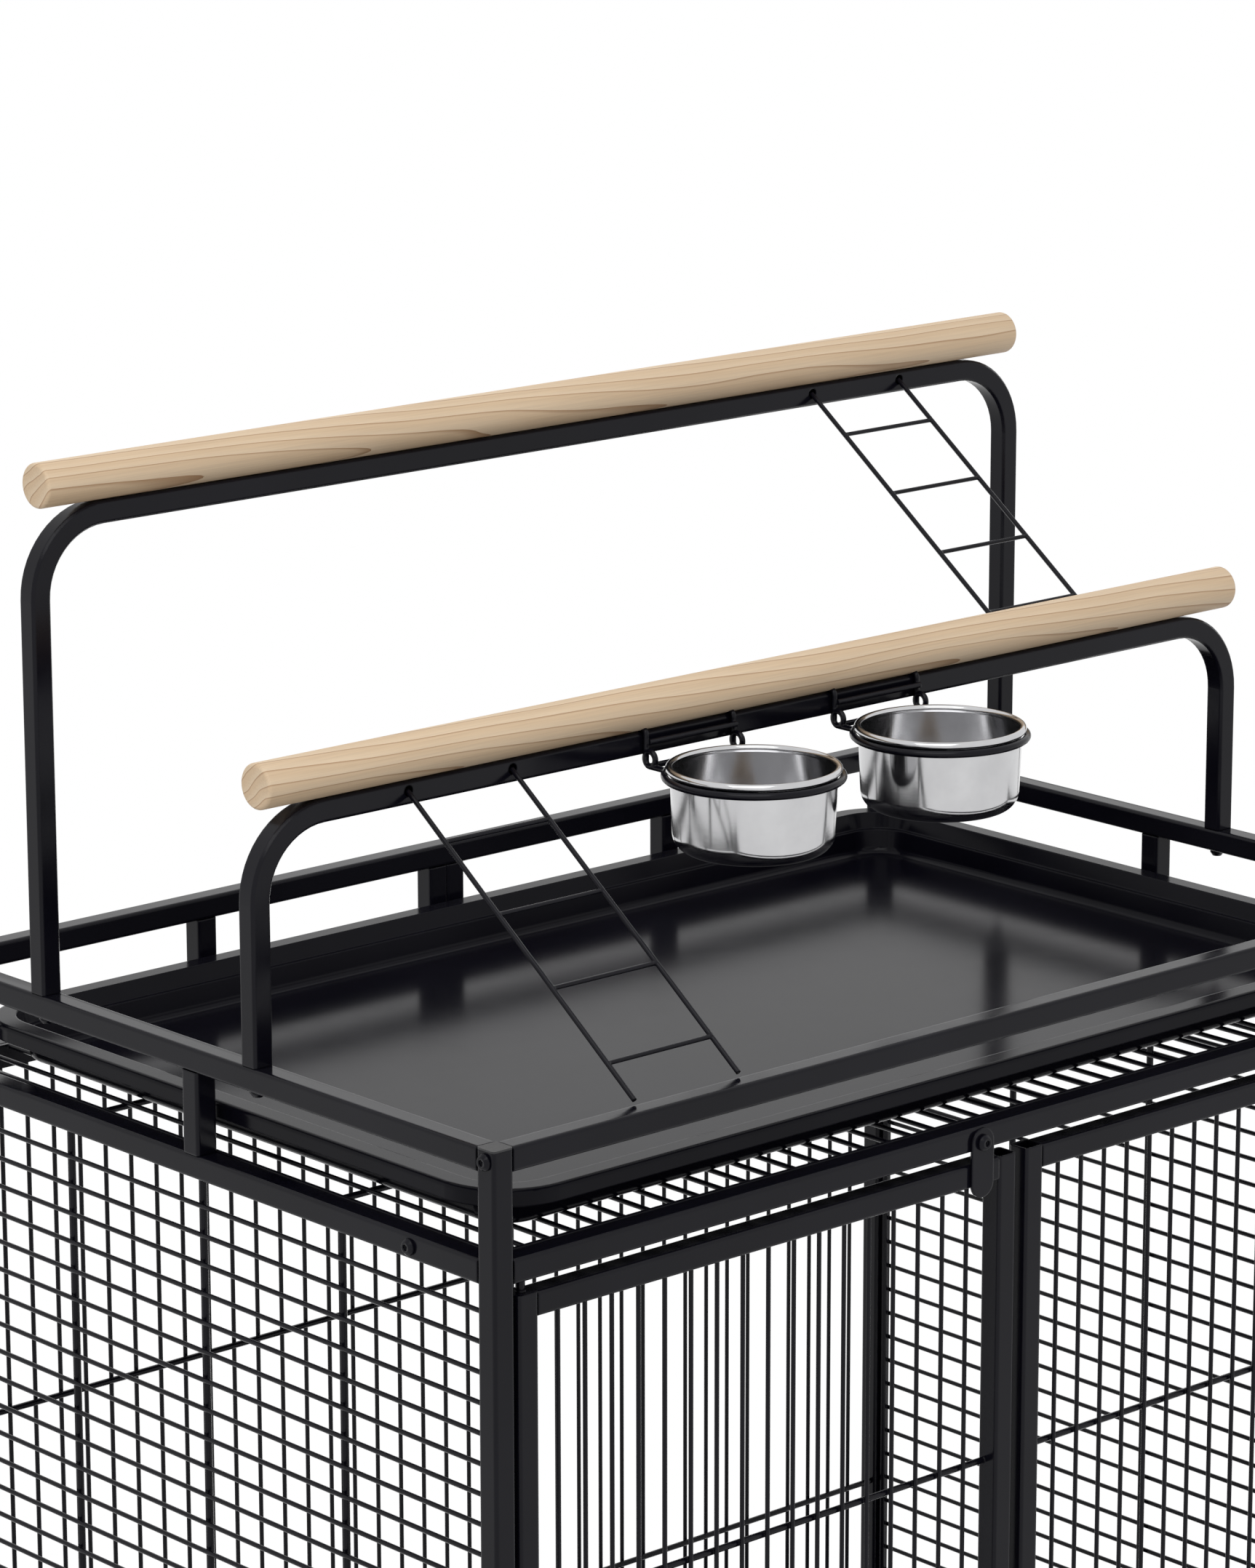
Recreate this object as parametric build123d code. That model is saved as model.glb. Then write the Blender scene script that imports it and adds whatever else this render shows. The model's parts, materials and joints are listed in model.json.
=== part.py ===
"""Play-top bird cage: a wire cage on a rolling stand, with a tray, two arches with perches,
two wire ladders and two steel cups on its roof. Millimetres, +Z up, origin on the floor
under the middle of the cage, front of the cage towards -Y."""
from build123d import *
import os

# Overall size
cage_width = 904.0
cage_depth = 594.0
top_height = 1330.0

# Square tube, wire and sheet
tube = 16.0
tube_corner = 2.2
tube_wall = 1.2
wire = 3.0
wire_sides = 8
bar = 5.0
cross_wire = 4.0
sheet = 1.2
seam = 0.2
weld_gap = 0.05
let_in = 0.6
fit = 0.3
slip = 1.5

# Heights of the frame, measured down from the top face of the upper rails
header_drop = 71.0
door_drop = 95.4
side_wire_drop = 106.0
door_bar_drop = 307.0
rear_bar_drops = (335.0, 600.0)

# Grilles
rim_thick = 3.0
roof_bar_places = (0.28, 0.72)
grate_bar_places = (0.25, 0.5, 0.75)
grate_rim_height = 10.0
side_pitch = 19.65
front_pitch = 21.6
roof_pitch = 20.8
grate_pitch = 24.0

# Play tray
tray_inset = 21.3
tray_corner = 50.0
tray_top_drop = 40.0
lip_height = 11.0
flange_width = 14.0
lip_round = 3.0
ridge_drop = 13.0
ridge_width = 4.0
wall_slope = 3.5
pan_fillet = 6.0

# Arches, perches and ladders
arch_tube = 15.0
arch_corner = 1.6
arch_bend = 52.0
front_arch_y = 236.6
rear_arch_y = 459.0
front_arch_rise = 164.3
rear_arch_rise = 322.0
perch_diameter = 30.0
perch_length = 884.0
perch_ease = 2.0
ladder_wire = 3.4
rung_wire = 3.0
ladder_width = 87.0
front_ladder_x = 127.5
rear_ladder_x = 692.0
first_rung = 0.17
rung_step = 0.238
rung_count = 4
lean_share = 0.69
ladder_hole = 7.0
ladder_hole_depth = 4.0
ladder_hole_drop = 6.0

# Cups and their holders
cup_rim = 116.0
cup_body = 110.0
cup_base = 107.0
cup_height = 58.0
cup_wall = 1.0
cup_base_radius = 13.0
rim_roll = 5.0
cup_rim_rise = 149.6
cup_y = 160.0
cup_x = (362.0, 533.0)
ring_wire = 5.0
hook_wire = 4.0
hook_spread = 78.0
hook_bend = 3.5
hook_shift = 5.0
rod_share = 0.4
rim_seat = 0.7
slot_clear = 0.5
eye_radius = 5.0

# Doors
door_side_gap = 3.2
door_middle_gap = 9.0
door_lift = 8.0
hinge_pin = 6.0
pin_sink = 4.0

# Latch plate on the header
latch_x = 414.0
latch_length = 47.0
latch_width = 19.5
latch_thick = 2.0
latch_screw_drop = 2.2
latch_clear = 0.4

# Screws
screw_head = 11.0
screw_head_height = 3.4
screw_socket = 4.0
screw_shank = 5.0
thread_gap = 0.1
plug_length = 14.0
tongue_length = 3.5
panel_screw_inset = 80.0
latch_shank = 9.0
bolt_head = 10.0
bolt_head_height = 4.5
bolt_shank = 6.0

# Base of the cage, drawer, grate and shelf
sill_top = 462.0
base_rail_top = 402.0
shelf_rail_top = 164.0
runner_leg = 12.0
runner_thick = 1.5
drawer_wall = 26.0
drawer_front = 28.0
drawer_handle_width = 110.0
grate_handle_width = 70.0
handle_reach = 22.0
handle_wire = 6.0
handle_bend = 10.0
shelf_rim = 15.0

# Casters
post_foot = 64.0
wheel_diameter = 50.0
wheel_width = 20.0
wheel_edge = 3.0
axle_diameter = 8.0
fork_thick = 2.5
fork_width = 26.0
fork_gap = 1.5
fork_top = 60.0
caster_trail = 18.0
stem_diameter = 11.0
stem_length = 30.0
socket_flange = 3.6

# Derived places
half_w = cage_width / 2
half_d = cage_depth / 2
left_x, right_x = -half_w, half_w
front_y, rear_y = -half_d, half_d
post_centre_x = half_w - tube / 2
post_centre_y = half_d - tube / 2
header_top = top_height - header_drop
header_mid = header_top - tube / 2
header_bottom = header_top - tube
sill_mid = sill_top - tube / 2
inner_w = cage_width - 2 * tube
inner_d = cage_depth - 2 * tube
tube_inside = tube - 2 * tube_wall
screw_bore = screw_shank + 2 * thread_gap
bolt_bore = bolt_shank + 2 * thread_gap
panel_screw_places = (front_y + panel_screw_inset, rear_y - panel_screw_inset)
tray_flange_top = top_height - tray_top_drop
latch_screw_z = header_mid - latch_screw_drop
latch_plate_back = front_y - latch_clear


def tube_along_z(length, size=tube):
    """Hollow square tube with rounded edges, from the origin up +Z."""
    section = RectangleRounded(size, size, tube_corner) - Rectangle(size - 2 * tube_wall, size - 2 * tube_wall)
    return extrude(section, length)


def tube_along_x(length, size=tube):
    return Rot(0, 90, 0) * tube_along_z(length, size)


def tube_along_y(length, size=tube):
    return Rot(-90, 0, 0) * tube_along_z(length, size)


def wire_section(diameter):
    """Eight-sided section of a drawn wire, its diameter measured across the flats."""
    return RegularPolygon(diameter / 2, wire_sides, major_radius=False, rotation=180 / wire_sides)


def wire_x(diameter, x0, x1, y, z):
    return Pos(x0, y, z) * Rot(0, 90, 0) * extrude(wire_section(diameter), x1 - x0)


def wire_y(diameter, y0, y1, x, z):
    return Pos(x, y0, z) * Rot(-90, 0, 0) * extrude(wire_section(diameter), y1 - y0)


def wire_z(diameter, z0, z1, x, y):
    return Pos(x, y, z0) * extrude(wire_section(diameter), z1 - z0)


def wire_ring(radius, diameter):
    """Ring of wire about Z."""
    return revolve(Plane.XZ * Pos(radius, 0) * wire_section(diameter), Axis.Z)


def rod_x(diameter, x0, x1, y, z):
    return Pos((x0 + x1) / 2, y, z) * Rot(0, 90, 0) * Cylinder(diameter / 2, x1 - x0)


def rod_y(diameter, y0, y1, x, z):
    return Pos(x, (y0 + y1) / 2, z) * Rot(90, 0, 0) * Cylinder(diameter / 2, y1 - y0)


def rod_z(diameter, z0, z1, x, y):
    return Pos(x, y, (z0 + z1) / 2) * Cylinder(diameter / 2, z1 - z0)


def spaced(start, end, pitch):
    """Places between start and end at about the pitch, with equal gaps and none on the ends."""
    gaps = max(2, round((end - start) / pitch))
    return [start + (end - start) * i / gaps for i in range(1, gaps)]


def screw(plane, shank_length, head=screw_head, height=screw_head_height, shank=screw_shank):
    """Button head screw with a six-sided socket; the plane is the face that its head sits on."""
    rim = height * 0.45
    body = extrude(Circle(head / 2), rim)
    body += loft([Pos(0, 0, rim) * Circle(head / 2), Pos(0, 0, height) * Circle(head / 3)])
    body -= Pos(0, 0, rim) * extrude(RegularPolygon(screw_socket / 2, 6, major_radius=False), height)
    body += extrude(Circle(shank / 2), -shank_length)
    return plane * body


def save(name, *solids):
    """Write one node from its solids."""
    os.makedirs("parts", exist_ok=True)
    shapes = [solid for item in solids for solid in item.solids()]
    shape = shapes[0] if len(shapes) == 1 else Compound(children=shapes)
    export_step(shape, f"parts/{name}.step")


# Corner posts with their plastic plugs
def corner_posts():
    plugs = []
    for side, sx in (("left", -1), ("right", 1)):
        for end, sy in (("front", -1), ("rear", 1)):
            place = Pos(sx * post_centre_x, sy * post_centre_y, post_foot)
            post = place * tube_along_z(top_height - sheet - post_foot)
            high_screw = (sx * post_centre_x, sy * post_centre_y, top_height - tube / 2)
            post -= rod_x(screw_bore, high_screw[0] - tube, high_screw[0] + tube, *high_screw[1:])
            save(f"post_{end}_{side}", post)
            cap = extrude(RectangleRounded(tube, tube, tube_corner), sheet)
            tongue_side = tube_inside - 2 * weld_gap
            tongue = Pos(0, 0, -tongue_length / 2) * Box(tongue_side, tongue_side, tongue_length)
            plugs.append(Pos(sx * post_centre_x, sy * post_centre_y, top_height - sheet) * (cap + tongue))
    save("post_plugs", *plugs)


# Upper rails: the front and rear ones have threaded plugs for the posts' screws, the side ones have
# bolt holes under the arches' feet
def upper_rails():
    rail_z = top_height - tube / 2
    length = inner_w - 2 * seam
    for name, sy in (("front", -1), ("rear", 1)):
        y = sy * post_centre_y
        body = Pos(-length / 2, y, rail_z) * tube_along_x(length)
        for sx in (-1, 1):
            body += Pos(sx * (length - plug_length) / 2, y, rail_z) * Box(plug_length, tube_inside, tube_inside)
        body -= rod_x(screw_bore, -length, length, y, rail_z)
        save(f"upper_rail_{name}", body)
    length = inner_d - 2 * seam
    for name, sx in (("left", -1), ("right", 1)):
        x = sx * post_centre_x
        body = Pos(x, -length / 2, rail_z) * tube_along_y(length)
        for y in (front_arch_y, rear_arch_y):
            body -= rod_z(bolt_bore, rail_z - tube, rail_z + tube, x, front_y + y)
        save(f"upper_rail_{name}", body)


def rail_spacers():
    height = header_drop - tube
    quarter = inner_w / 4
    places = [(sx * post_centre_x, 0.0) for sx in (-1, 1)]
    places += [(-quarter, post_centre_y), (quarter, post_centre_y)]
    places += [(-tube / 2, post_centre_y), (tube / 2, post_centre_y)]
    save("rail_spacers", *[Pos(x, y, header_top) * tube_along_z(height) for x, y in places])


# Front header and sill tubes between the posts
def front_tubes():
    pin_hole = hinge_pin + 2 * fit
    for name, mid, hole_side in (("header", header_mid, -1), ("sill", sill_mid, 1)):
        body = Pos(seam - inner_w / 2, -post_centre_y, mid) * tube_along_x(inner_w - 2 * seam)
        for x in (door_pivot_x(-1), door_pivot_x(1)):
            hole_end = mid + hole_side * tube
            low, high = sorted((mid, hole_end))
            body -= rod_z(pin_hole, low, high, x, -post_centre_y)
        if name == "header":
            body -= rod_y(screw_bore, front_y - tube, -post_centre_y, left_x + latch_x, latch_screw_z)
        save(f"front_{name}", body)


def door_pivot_x(side):
    """X of a door's pivot, in the middle of its outer stile; side is -1 left, 1 right."""
    return side * (half_w - tube - door_side_gap - tube / 2)


# Doors: a tube frame, upright wires let into it, one cross wire and two pivot pins
door_top = top_height - door_drop
door_bottom = sill_top + door_lift


def door(name, side):
    outer = side * (half_w - tube - door_side_gap)
    inner = side * door_middle_gap / 2
    x0, x1 = sorted((outer, inner))
    y = -post_centre_y
    height = door_top - door_bottom
    frame = Pos(x0 + tube / 2, y, door_bottom) * tube_along_z(height)
    frame += Pos(x1 - tube / 2, y, door_bottom) * tube_along_z(height)
    rail_length = x1 - x0 - 2 * tube
    for z in (door_top - tube / 2, door_bottom + tube / 2):
        frame += Pos(x0 + tube, y, z) * tube_along_x(rail_length)
    low, high = door_bottom + tube - let_in, door_top - tube + let_in
    frame += [wire_z(wire, low, high, x, y) for x in spaced(x0 + tube, x1 - tube, front_pitch)]
    pivot = door_pivot_x(side)
    for z in (door_bottom + plug_length / 2, door_top - plug_length / 2):
        frame += Pos(pivot, y, z) * Box(tube_inside, tube_inside, plug_length)
    frame += rod_z(hinge_pin, door_top - let_in, header_bottom + pin_sink, pivot, y)
    frame += rod_z(hinge_pin, sill_top - pin_sink, door_bottom + let_in, pivot, y)
    bar_y = y + (wire + cross_wire) / 2 + weld_gap
    cross = wire_x(cross_wire, x0 + tube, x1 - tube, bar_y, top_height - door_bar_drop)
    save(name, frame, cross)


# Side panels: two tubes, upright bars and level wires on their outer side
def side_panel(name, side):
    x = side * post_centre_x
    y0, y1 = -inner_d / 2, inner_d / 2
    length = inner_d - 2 * seam
    frame = Pos(x, -length / 2, header_mid) * tube_along_y(length)
    frame += Pos(x, -length / 2, sill_mid) * tube_along_y(length)
    for y in panel_screw_places:
        frame -= rod_x(screw_bore, x - tube, x + tube, y, header_mid)
    bar_x = x - side * (wire / 2 + weld_gap)
    low, high = sill_top - let_in, header_bottom + let_in
    edge = bar / 2 + fit
    frame += [wire_z(bar, low, high, bar_x, y0 + (y1 - y0) * i / 4) for i in (1, 2, 3)]
    frame += [wire_z(bar, low, high, bar_x, y) for y in (y0 + edge, y1 - edge)]
    level_x = bar_x + side * (bar / 2 + wire / 2 + weld_gap)
    wires = []
    z = top_height - side_wire_drop
    while z > sill_top + wire:
        wires.append(wire_y(wire, y0 + fit, y1 - fit, level_x, z))
        z -= side_pitch
    save(name, frame, *wires)


# Rear panel: two tubes, upright wires let into them and level cross wires
def rear_panel():
    y = post_centre_y
    x1 = inner_w / 2 - seam
    x0 = -x1
    frame = Pos(x0, y, header_mid) * tube_along_x(2 * x1)
    frame += Pos(x0, y, sill_mid) * tube_along_x(2 * x1)
    low, high = sill_top - let_in, header_bottom + let_in
    frame += [wire_z(wire, low, high, x, y) for x in spaced(x0, x1, front_pitch)]
    bar_y = y - (wire + cross_wire) / 2 - weld_gap
    bars = [wire_x(cross_wire, x0 + fit, x1 - fit, bar_y, top_height - drop) for drop in rear_bar_drops]
    save("rear_panel", frame, *bars)


# A flat grille: a rim of flat bar, wires along Y let into it and cross wires under them
def flat_grille(size_x, size_y, top, rim_height, pitch, cross_places):
    level = top - wire / 2
    rim = Box(size_x, size_y, rim_height) - Box(size_x - 2 * rim_thick, size_y - 2 * rim_thick, 2 * rim_height)
    body = Pos(0, 0, top - rim_height / 2) * rim
    y_end = size_y / 2 - rim_thick + let_in
    x_end = size_x / 2 - rim_thick
    body += [wire_y(wire, -y_end, y_end, x, level) for x in spaced(-x_end, x_end, pitch)]
    cross_z = level - (wire + cross_wire) / 2 - weld_gap
    bars = [wire_x(cross_wire, -x_end, x_end, (place - 0.5) * size_y, cross_z) for place in cross_places]
    return body, bars


def roof_panel():
    size_x = inner_w - 2 * seam
    size_y = inner_d - 2 * seam
    body, bars = flat_grille(size_x, size_y, header_top, tube, roof_pitch, roof_bar_places)
    for y in panel_screw_places:
        body -= rod_x(screw_bore, -size_x, size_x, y, header_mid)
    save("roof_panel", body, *bars)


# Play tray: pan with a ridge in its wall, a flat flange and a turned-down lip
def frustum(top, top_size, top_corner, bottom, shrink):
    """Solid between two rounded rectangles, smaller by shrink all round at the bottom."""
    upper = Pos(0, 0, top) * RectangleRounded(*top_size, top_corner)
    low_size = [side - 2 * shrink for side in top_size]
    lower = Pos(0, 0, bottom) * RectangleRounded(*low_size, top_corner - shrink)
    return loft([upper, lower])


def tray_pan(grow, top, bottom):
    """Solid that fills the pan, smaller all round by grow."""
    margin = flange_width + grow
    size = [cage_width - 2 * (tray_inset + margin), cage_depth - 2 * (tray_inset + margin)]
    corner = tray_corner - margin
    ridge = tray_flange_top - ridge_drop + grow
    upper = frustum(top, size, corner, ridge, wall_slope)
    inset = wall_slope + ridge_width
    size = [side - 2 * inset for side in size]
    lower = frustum(ridge, size, corner - inset, bottom, wall_slope)
    lower = fillet(lower.faces().sort_by(Axis.Z)[0].edges(), pan_fillet)
    return upper + lower


def tray_lip(grow, top, corner_round):
    size = [cage_width - 2 * (tray_inset + grow), cage_depth - 2 * (tray_inset + grow)]
    bottom = tray_flange_top - lip_height
    body = extrude(Pos(0, 0, bottom) * RectangleRounded(*size, tray_corner - grow), top - bottom)
    return fillet(body.faces().sort_by(Axis.Z)[-1].edges(), corner_round)


def play_tray():
    floor_bottom = header_top + fit
    shell = tray_lip(0, tray_flange_top, lip_round) - tray_lip(sheet, tray_flange_top - sheet, lip_round - sheet)
    shell += tray_pan(0, tray_flange_top, floor_bottom)
    shell -= tray_pan(sheet, tray_flange_top + sheet, floor_bottom + sheet)
    save("play_tray", shell)


# Arches standing on the side rails
def arch(name, y_from_front, rise, hole_faces):
    y = front_y + y_from_front
    leg_x = post_centre_x
    top = top_height + rise - arch_tube / 2
    corners = [(-leg_x, y, top_height), (-leg_x, y, top), (leg_x, y, top), (leg_x, y, top_height)]
    path = FilletPolyline(*corners, radius=arch_bend)
    inside = arch_tube - 2 * tube_wall
    section = chamfer(Rectangle(arch_tube, arch_tube).vertices(), arch_corner) - Rectangle(inside, inside)
    body = sweep(Pos(-leg_x, y, top_height) * section, path=path)
    for x in (-leg_x, leg_x):
        body += Pos(x, y, top_height + plug_length / 2) * Box(inside, inside, plug_length)
        body -= rod_z(bolt_bore, top_height - tube, top_height + tube, x, y)
    for x, face in hole_faces:
        hole_y = y + face * (arch_tube / 2 - ladder_hole_depth / 2)
        low, high = hole_y - ladder_hole_depth / 2, hole_y + ladder_hole_depth / 2
        body -= rod_y(ladder_hole, low, high, x, top_height + rise - ladder_hole_drop)
    save(name, body)


def perch(name, y_from_front, rise, slot_places):
    """Round perch on an arch, with slots in its underside for the cup holders' hooks."""
    centre_z = top_height + rise + perch_diameter / 2
    body = Rot(0, 90, 0) * Cylinder(perch_diameter / 2, perch_length)
    body = Pos(0, front_y + y_from_front, centre_z) * chamfer(body.edges(), perch_ease)
    for x in slot_places:
        slot_z = top_height + rise
        slot = Box(hook_wire + 2 * slot_clear, perch_diameter, 2 * (hook_wire + slot_clear))
        body -= Pos(x, front_y + y_from_front, slot_z) * slot
    save(name, body)


def arch_bolts():
    """Bolts from under the side rails into the arches' feet."""
    bolts = []
    for x in (-post_centre_x, post_centre_x):
        for y in (front_arch_y, rear_arch_y):
            under_rail = Plane(origin=(x, front_y + y, top_height - tube), z_dir=(0, 0, -1))
            bolts.append(screw(under_rail, tube + plug_length, bolt_head, bolt_head_height, bolt_shank))
    save("arch_bolts", *bolts)


def frame_screws():
    """Screws through the posts into the upper rails, and through the side panels into the roof panel."""
    screws = []
    for side in (-1, 1):
        face = Plane(origin=(side * half_w, 0, 0), z_dir=(side, 0, 0))
        for y in (-post_centre_y, post_centre_y):
            at_post = Plane(origin=(side * half_w, y, top_height - tube / 2), z_dir=face.z_dir)
            screws.append(screw(at_post, tube + plug_length))
        for y in panel_screw_places:
            at_panel = Plane(origin=(side * half_w, y, header_mid), z_dir=face.z_dir)
            screws.append(screw(at_panel, tube + rim_thick))
    save("frame_screws", *screws)


# Ladder: two wire rails and rungs between two points of the Y-Z plane
def ladder(name, x_from_left, y_top, z_top, y_end, z_end):
    x0 = left_x + x_from_left
    x1 = x0 + ladder_width
    run = Vector(0, y_end - y_top, z_end - z_top)
    rails = []
    for x in (x0, x1):
        plane = Plane(origin=(x, y_top, z_top), x_dir=(1, 0, 0), z_dir=run)
        rails.append(extrude(plane * wire_section(ladder_wire), run.length))
    rungs = []
    for i in range(rung_count):
        share = first_rung + rung_step * i
        y, z = y_top + run.Y * share, z_top + run.Z * share
        rungs.append(wire_x(rung_wire, x0, x1, y, z))
    body = rails[0] + rails[1]
    for rung in rungs:
        body += rung
    save(name, body)


# Cup: spun steel bowl with a rolled rim
def bowl_outline(inset):
    """Half outline of the bowl, from its axis to its wall's top, moved in by inset."""
    base_r, body_r = cup_base / 2, cup_body / 2
    points = [(0.0, inset)]
    for turn in (-90, -60, -30, 0):
        arm = Vector(cup_base_radius - inset, 0).rotate(Axis.Z, turn)
        points.append((base_r - cup_base_radius + arm.X, cup_base_radius + arm.Y))
    points.append((body_r - inset, cup_height - rim_roll / 2))
    return points


def cup(name, x_from_left):
    wall = Polygon(*bowl_outline(0), *reversed(bowl_outline(cup_wall)), align=None)
    roll = rim_roll / 2
    rim = Pos(cup_rim / 2 - roll, cup_height - roll) * wire_section(rim_roll)
    body = revolve(Plane.XZ * (wall + rim), Axis.Z)
    place = Pos(left_x + x_from_left, front_y + cup_y, top_height + cup_rim_rise - cup_height)
    save(name, place * body)


# Cup holder: a wire ring under the cup's rim on two hooks that hang over the arch bar
def cup_holder(name, x_from_left):
    x = left_x + x_from_left
    y = front_y + cup_y
    ring_radius = cup_body / 2 + ring_wire / 2 + 3 * fit
    rim_radius = (cup_rim - rim_roll) / 2
    rim_to_ring = (rim_roll + ring_wire) / 2 + rim_seat
    drop = (rim_to_ring ** 2 - (ring_radius - rim_radius) ** 2) ** 0.5
    ring_z = top_height + cup_rim_rise - rim_roll / 2 - drop
    bar_y = front_y + front_arch_y
    bar_top = top_height + front_arch_rise
    off_bar = (arch_tube + hook_wire) / 2 + weld_gap
    half = hook_spread / 2
    body = Pos(x, y, ring_z) * wire_ring(ring_radius, ring_wire)
    for side in (-1, 1):
        off_centre = side * half + hook_shift
        hook_x = x + off_centre
        reach = (ring_radius ** 2 - off_centre ** 2) ** 0.5
        over = bar_top + hook_wire / 2 + weld_gap
        path = FilletPolyline(
            (hook_x, y + reach, ring_z), (hook_x, bar_y - off_bar, ring_z), (hook_x, bar_y - off_bar, over),
            (hook_x, bar_y + off_bar, over), (hook_x, bar_y + off_bar, bar_top - arch_tube / 2), radius=hook_bend)
        start = Plane(origin=(hook_x, y + reach, ring_z), x_dir=(1, 0, 0), z_dir=(0, 1, 0))
        section = start * wire_section(hook_wire)
        body += sweep(section, path=path)
        eye_z = ring_z + eye_radius
        eye = Rot(0, 90, 0) * wire_ring(eye_radius, hook_wire)
        body += Pos(hook_x, bar_y - off_bar - hook_wire, eye_z) * eye
    rod_front = bar_y - off_bar - hook_wire / 2
    for z in (bar_top - arch_tube * rod_share, ring_z):
        body += wire_x(hook_wire, x + hook_shift - half, x + hook_shift + half, rod_front - hook_wire / 4, z)
    save(name, body)


# Latch plate hanging on its screw in front of the header and the left door
def latch():
    x = left_x + latch_x
    hole_to_middle = latch_length / 2 - latch_width / 2
    outline = Pos(0, -hole_to_middle) * SlotOverall(latch_length, latch_width, rotation=90)
    outline -= Circle(screw_shank / 2 + fit)
    plane = Plane(origin=(x, latch_plate_back, latch_screw_z), x_dir=(1, 0, 0), z_dir=(0, -1, 0))
    save("latch_plate", extrude(plane * outline, latch_thick))
    head_back = latch_plate_back - latch_thick - latch_clear
    save("latch_screw", screw(Plane(origin=(x, head_back, latch_screw_z), z_dir=(0, -1, 0)), latch_shank))



# Base tubes between the posts, and the angles that carry the drawer and the grate
def rail_ring(name, top):
    z = top - tube / 2
    x_length = inner_w - 2 * seam
    y_length = inner_d - 2 * seam
    tubes = [Pos(-x_length / 2, sy * post_centre_y, z) * tube_along_x(x_length) for sy in (-1, 1)]
    tubes += [Pos(sx * post_centre_x, -y_length / 2, z) * tube_along_y(y_length) for sx in (-1, 1)]
    save(name, *tubes)


drawer_bottom = base_rail_top + fit
grate_bottom = drawer_bottom + drawer_front + slip + runner_thick + fit


def runners(name, top, leg_end):
    """Pair of angles along the sides: a level leg whose top is given and an upright leg to leg_end."""
    length = inner_d - 2 * seam
    low, high = sorted((top, leg_end))
    angles = []
    for side in (-1, 1):
        outer = inner_w / 2 - seam
        level = Pos(side * (outer - runner_leg / 2), 0, top - runner_thick / 2)
        upright = Pos(side * (outer - runner_thick / 2), 0, (low + high) / 2)
        body = level * Box(runner_leg, length, runner_thick) + upright * Box(runner_thick, length, high - low)
        angles.append(body)
    save(name, *angles)


def pull_handle(width, y, z):
    """Bent wire handle standing out of a front face at y."""
    half = width / 2
    reach = y - handle_reach
    path = FilletPolyline((-half, y, z), (-half, reach, z), (half, reach, z), (half, y, z), radius=handle_bend)
    section = Plane(origin=(-half, y, z), x_dir=(1, 0, 0), z_dir=(0, -1, 0)) * wire_section(handle_wire)
    return sweep(section, path=path)


# Drawer under the grate: a sheet pan with a taller front and a wire handle
def drawer():
    width = inner_w - 2 * slip
    back = rear_y - tube - slip
    length = back - front_y
    middle = (front_y + back) / 2
    hollow = Pos(0, 0, sheet) * Box(width - 2 * sheet, length - 2 * sheet, drawer_wall)
    pan = Box(width, length, drawer_wall) - hollow
    body = Pos(0, middle, drawer_bottom + drawer_wall / 2) * pan
    body += Pos(0, front_y + sheet / 2, drawer_bottom + drawer_front / 2) * Box(width, sheet, drawer_front)
    body += pull_handle(drawer_handle_width, front_y + sheet / 2, drawer_bottom + drawer_front / 2)
    save("drawer", body)


# Grate above the drawer
def grate():
    width = inner_w - 2 * (slip + runner_thick)
    back = rear_y - tube - slip
    length = back - front_y
    top = grate_bottom + grate_rim_height
    body, bars = flat_grille(width, length, top, grate_rim_height, grate_pitch, grate_bar_places)
    body += pull_handle(grate_handle_width, rim_thick / 2 - length / 2, top - grate_rim_height / 2)
    place = Pos(0, (front_y + back) / 2, 0)
    save("floor_grate", place * body, *[place * item for item in bars])


# Lower shelf: a sheet with a turned-up rim, cut out round the posts, on its four tubes
def shelf():
    def outline(inset):
        cut = tube + seam + inset
        shape = Rectangle(cage_width - 2 * inset, cage_depth - 2 * inset)
        for sx in (-1, 1):
            for sy in (-1, 1):
                corner = Pos(sx * (half_w - cut / 2), sy * (half_d - cut / 2))
                shape -= corner * Rectangle(cut, cut)
        return shape

    floor = shelf_rail_top + fit
    pan = extrude(outline(0), shelf_rim) - Pos(0, 0, sheet) * extrude(outline(sheet), shelf_rim)
    save("lower_shelf", Pos(0, 0, floor) * pan)


# Casters: a socket in each post's foot, a fork that swivels in it, an axle and a wheel
def casters():
    axle_z = wheel_diameter / 2
    sockets = []
    for side, sx in (("left", -1), ("right", 1)):
        for end, sy in (("front", -1), ("rear", 1)):
            x, y = sx * post_centre_x, sy * post_centre_y
            wheel_y = y + sy * caster_trail
            place = f"{end}_{side}"
            sleeve = Pos(x, y, post_foot + stem_length / 2) * Box(tube_inside, tube_inside, stem_length)
            flange = Pos(x, y, post_foot - socket_flange / 2) * Box(tube, tube, socket_flange)
            bore = rod_z(stem_diameter + 2 * fit, fork_top, top_height, x, y)
            sockets.append(sleeve + flange - bore)
            save(f"caster_fork_{place}", caster_fork(x, y, wheel_y, axle_z))
            half_axle = wheel_width / 2 + fork_gap + 2 * fork_thick
            axle = rod_x(axle_diameter, x - half_axle, x + half_axle, wheel_y, axle_z)
            save(f"caster_axle_{place}", axle)
            wheel = rod_x(wheel_diameter, x - wheel_width / 2, x + wheel_width / 2, wheel_y, axle_z)
            wheel = chamfer(wheel.edges(), wheel_edge)
            wheel -= rod_x(axle_diameter + 2 * fit, x - wheel_width, x + wheel_width, wheel_y, axle_z)
            save(f"caster_wheel_{place}", wheel)
    save("caster_sockets", *sockets)


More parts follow.
